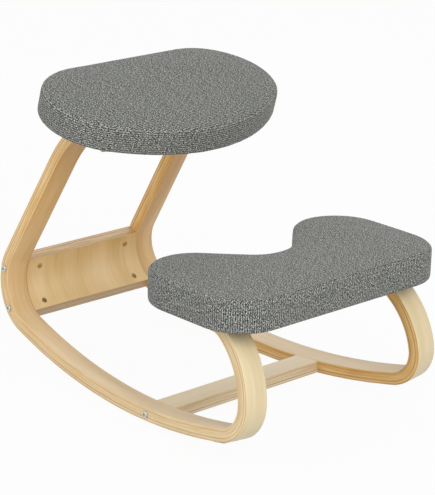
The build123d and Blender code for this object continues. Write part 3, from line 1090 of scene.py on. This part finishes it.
def melange_weave(name):
    """Plain-woven flecked grey cloth, mapped by the weave's own coordinates."""
    material, tree, out = new_material(name)
    place = add_node(tree, "ShaderNodeUVMap", uv_map="weave").outputs["UV"]
    flecks = stretched_noise(tree, place, (fleck_length, yarn_pitch, 1.0), Detail=1.0)
    slubs = stretched_noise(tree, place, (slub_length, row_pitch, 1.0), Detail=1.0)
    along_warp = add_node(tree, "ShaderNodeSeparateXYZ", {0: place}).outputs["Y"]
    counted = add_node(tree, "ShaderNodeMath", {0: along_warp, 1: row_pitch}, operation="DIVIDE")
    rows = add_node(tree, "ShaderNodeMath", {0: counted.outputs[0], 1: 1.0}, operation="PINGPONG")
    broken = add_node(
        tree,
        "ShaderNodeMapRange",
        {"Value": slubs, "From Min": slub_ends[0], "From Max": slub_ends[1], "To Max": row_weight},
    )
    weft = add_node(
        tree,
        "ShaderNodeMix",
        {"Factor": broken.outputs[0], "A": flecks, "B": rows.outputs[0]},
        data_type="FLOAT",
    )
    warp = stretched_noise(tree, place, (yarn_pitch, fleck_length, 1.0), Detail=1.0)
    checks = add_node(
        tree,
        "ShaderNodeTexChecker",
        {"Vector": place, "Color1": (0, 0, 0, 1), "Color2": (1, 1, 1, 1), "Scale": 1 / yarn_pitch},
    )
    on_top = add_node(
        tree,
        "ShaderNodeMapRange",
        {"Value": checks.outputs["Fac"], "To Min": 0.0, "To Max": warp_share},
    )
    woven = add_node(
        tree,
        "ShaderNodeMix",
        {"Factor": on_top.outputs[0], "A": weft.outputs["Result"], "B": warp},
        data_type="FLOAT",
    )
    ramp = add_node(tree, "ShaderNodeValToRGB", {"Fac": woven.outputs["Result"]})
    set_ramp(ramp, cloth_shades)
    relief = add_node(
        tree,
        "ShaderNodeBump",
        {"Height": woven.outputs["Result"], "Strength": 0.5, "Distance": 0.6 * mm},
    )
    surface = add_node(
        tree,
        "ShaderNodeBsdfPrincipled",
        {
            "Base Color": ramp.outputs["Color"],
            "Roughness": 0.9,
            "Normal": relief.outputs[0],
            "Specular IOR Level": 0.25,
            "Sheen Weight": 0.12,
            "Sheen Roughness": 0.5,
        },
    )
    tree.links.new(surface.outputs[0], out.inputs["Surface"])
    return material


cloth_grey = melange_weave("linen_look_polyester_weave")
wear(seat_rest, cloth_grey)
wear(knee_rest, cloth_grey)
print("flecks, mm:", round(fleck_length / mm, 2), "x", round(yarn_pitch / mm, 2))

# %% [markdown]
# ## The underside
# Under each rest the cover's hem is turned in over the board and hidden by a lining of black
# spunbond cloth, its edge folded under and held by staples. The lining is a flat face with an inset
# for the folded edge; a staple is wire bent by the same spin as the frames, modelled once and copied
# round the edge.

# %% Linings
hem_width = 26.0 * mm
turned_edge = 9.0 * mm
lining_bottom = 0.02 * mm
lining_thickness = 0.2 * mm
turned_step = 0.12 * mm


def flat_area(points):
    """The area inside a plan's points."""
    pairs = zip(points, points[1:] + points[:1])
    return abs(sum(here.cross(ahead) for here, ahead in pairs)) / 2


def stretch_lining(name, plan, place):
    """A lining cut to the plan inside the hem, its edge folded under, stretched on the board."""
    points = plan_points(plan, hem_width)
    bpy.ops.object.select_all(action="DESELECT")
    bpy.ops.mesh.primitive_circle_add(vertices=len(points), radius=1.0, fill_type="NGON")
    lining = bpy.context.object
    lining.name = name
    for vertex, point in zip(lining.data.vertices, points):
        vertex.co = (point.x, point.y, lining_bottom)
    bpy.ops.object.mode_set(mode="EDIT")
    bpy.ops.mesh.select_all(action="SELECT")
    bpy.ops.mesh.normals_make_consistent(inside=False)
    bpy.ops.mesh.inset(thickness=turned_edge)
    bpy.ops.mesh.inset(thickness=turned_step)
    bpy.ops.transform.translate(value=(0, 0, turned_step))
    bpy.ops.object.mode_set(mode="OBJECT")
    solid = lining.modifiers.new("cloth", "SOLIDIFY")
    solid.thickness = lining_thickness
    solid.offset = 1.0
    bpy.ops.object.modifier_apply(modifier=solid.name)
    lining.data.transform(board_to_chair(place))
    cut = plan_points(plan, hem_width - turned_edge)
    width, length = [max(p[k] for p in cut) - min(p[k] for p in cut) for k in (0, 1)]
    print(name, "cut, mm:", round(width / mm), "x", round(length / mm))
    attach(lining, "root")
    return lining, (width, length), flat_area(cut)


seat_lining, seat_cut, seat_cut_area = stretch_lining("seat_rest_lining", seat_plan, seat_plane)
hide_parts("seat_underlining")
knee_lining, knee_cut, knee_cut_area = stretch_lining("knee_rest_lining", knee_plan, knee_plane)
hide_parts("knee_underlining")

# %% Staples
staple_leg = 5.0 * mm
staple_crown = 8.4 * mm
staple_corner = 0.9 * mm
wire_thickness = 0.7 * mm
wire_width = 1.2 * mm
staple_spacing = 36.0 * mm
staple_from_edge = 4.5 * mm
staple_bends = [
    ("leg", None, staple_leg),
    ("corner", staple_corner, 90.0),
    ("crown", None, staple_crown),
    ("far corner", staple_corner, 90.0),
    ("far leg", None, staple_leg),
]
staple_middle = Vector(
    (
        staple_leg + staple_corner - wire_thickness,
        staple_corner + staple_crown / 2,
        -wire_width / 2,
    )
)

staple = add_section("staple", wire_thickness, wire_width)
run_strip(trace(staple_bends), 1, fewest_steps=3)
close_strip()
staple.data.transform(Matrix.Translation(-staple_middle))


def lay_staples(name, plan, place):
    """Copies of the staple, driven up through the lining's edge into the board."""
    line = plan_points(plan, hem_width + staple_from_edge)
    spaced = round(sum((b - a).length for a, b in zip(line, line[1:] + line[:1])) / staple_spacing)
    copies = []
    for number in range(spaced):
        index = round(number * len(line) / spaced)
        ahead = line[(index + 1) % len(line)] - line[index - 1]
        along = Vector((ahead.x, ahead.y, 0)).normalized()
        down = Vector((0, 0, -1))
        turn = Matrix((down, along, down.cross(along))).transposed().to_4x4()
        turn.translation = (line[index].x, line[index].y, lining_bottom)
        pick(staple)
        bpy.ops.object.duplicate()
        copy = bpy.context.object
        copy.data.transform(board_to_chair(place) @ turn)
        copies.append(copy)
    bpy.ops.object.select_all(action="DESELECT")
    for copy in copies:
        copy.select_set(True)
    bpy.context.view_layer.objects.active = copies[0]
    bpy.ops.object.join()
    copies[0].name = name
    bpy.ops.object.shade_smooth_by_angle(angle=math.radians(35))
    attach(copies[0], "root")
    print(name, len(copies))
    return copies[0]


seat_staples = lay_staples("seat_lining_staples", seat_plan, seat_plane)
knee_staples = lay_staples("knee_lining_staples", knee_plan, knee_plane)
bpy.data.objects.remove(staple)

# %% [markdown]
# ## Hardware and small finishes
# The other pieces keep their solids and only need a finish. One noise with its own grain sizes sets
# the tone, the shine and a faint relief together, as plating, spun fibres and raw wood all vary in
# these three at once.

# %% Grained finish
tone_stops = (0.35, 0.65)
gloss_stops = (0.3, 0.7)


def grained_finish(name, sizes, shades, roughness, metallic, relief):
    """A finish whose tone, shine and relief follow one noise with its own grain sizes."""
    material, tree, out = new_material(name)
    place = add_node(tree, "ShaderNodeTexCoord").outputs["Object"]
    grain = stretched_noise(tree, place, sizes, Detail=3.0)
    ramp = add_node(tree, "ShaderNodeValToRGB", {"Fac": grain})
    set_ramp(ramp, list(zip(tone_stops, shades)))
    gloss = add_node(
        tree,
        "ShaderNodeMapRange",
        {
            "Value": grain,
            "From Min": gloss_stops[0],
            "From Max": gloss_stops[1],
            "To Min": roughness[0],
            "To Max": roughness[1],
        },
    )
    bump = add_node(
        tree,
        "ShaderNodeBump",
        {"Height": grain, "Strength": 0.3, "Distance": relief},
    )
    surface = add_node(
        tree,
        "ShaderNodeBsdfPrincipled",
        {
            "Base Color": ramp.outputs["Color"],
            "Roughness": gloss.outputs[0],
            "Normal": bump.outputs[0],
            "Metallic": metallic,
        },
    )
    tree.links.new(surface.outputs[0], out.inputs["Surface"])
    return material


def finish_nodes(material, *names):
    """Give the named solids a finish."""
    for name in names:
        wear(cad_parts[name], material)


# %% Plated steel, rubber, lining and raw wood
# Bright zinc: a cool, slightly cloudy mirror on the bolt heads, washers, tee nuts and staples.
zinc_plating = grained_finish(
    "bright_zinc_plated_steel",
    sizes=[3 * mm] * 3,
    shades=("#B4B3AD", "#D2D1CB"),
    roughness=(0.26, 0.40),
    metallic=1.0,
    relief=0.02 * mm,
)
# Yellow-passivated zinc, darkened so that the cross nuts show as dull, brassy discs in their holes:
# the darkening is painted shade of the holes.
yellow_zinc_with_painted_shade = grained_finish(
    "yellow_zinc_darkened_by_painted_shade",
    sizes=[2 * mm] * 3,
    shades=("#9C7C46", "#C2A166"),
    roughness=(0.38, 0.52),
    metallic=1.0,
    relief=0.03 * mm,
)
# Pale rubber: dull and dusty, with a moulded grit, drawn coarser than the real one so that it shows.
pad_rubber = grained_finish(
    "pale_natural_rubber",
    sizes=[1.5 * mm] * 3,
    shades=("#9C9081", "#B7AC9C"),
    roughness=(0.70, 0.85),
    metallic=0.0,
    relief=0.2 * mm,
)
# Spunbond polypropylene: near black, with a felted grain and a weak plastic sheen.
spunbond = grained_finish(
    "black_spunbond_lining",
    sizes=[0.9 * mm] * 3,
    shades=("#17181A", "#2C2D2F"),
    roughness=(0.70, 0.88),
    metallic=0.0,
    relief=0.15 * mm,
)
# Raw birch ply and beech: dry wood with straight, faint streaks.
raw_birch = grained_finish(
    "raw_birch_plywood",
    sizes=[60 * mm, 3 * mm, 3 * mm],
    shades=("#CDB283", "#E0CBA2"),
    roughness=(0.60, 0.75),
    metallic=0.0,
    relief=0.1 * mm,
)
raw_beech = grained_finish(
    "turned_beech",
    sizes=[25 * mm, 1.5 * mm, 1.5 * mm],
    shades=("#C79F72", "#DDBB92"),
    roughness=(0.55, 0.70),
    metallic=0.0,
    relief=0.1 * mm,
)
finish_nodes(zinc_plating, "panel_bolts", "crossbar_bolts")
for rest in ("seat", "knee"):
    finish_nodes(zinc_plating, f"{rest}_bolts", f"{rest}_washers", f"{rest}_tee_nuts")
    finish_nodes(raw_birch, f"{rest}_board")
finish_nodes(yellow_zinc_with_painted_shade, "panel_barrel_nuts", "crossbar_barrel_nuts")
finish_nodes(pad_rubber, "stop_pads")
finish_nodes(raw_beech, "panel_dowels", "crossbar_dowels")
wear(seat_lining, spunbond)
wear(knee_lining, spunbond)
wear(seat_staples, zinc_plating)
wear(knee_staples, zinc_plating)
print("finishes in all:", len(bpy.data.materials))
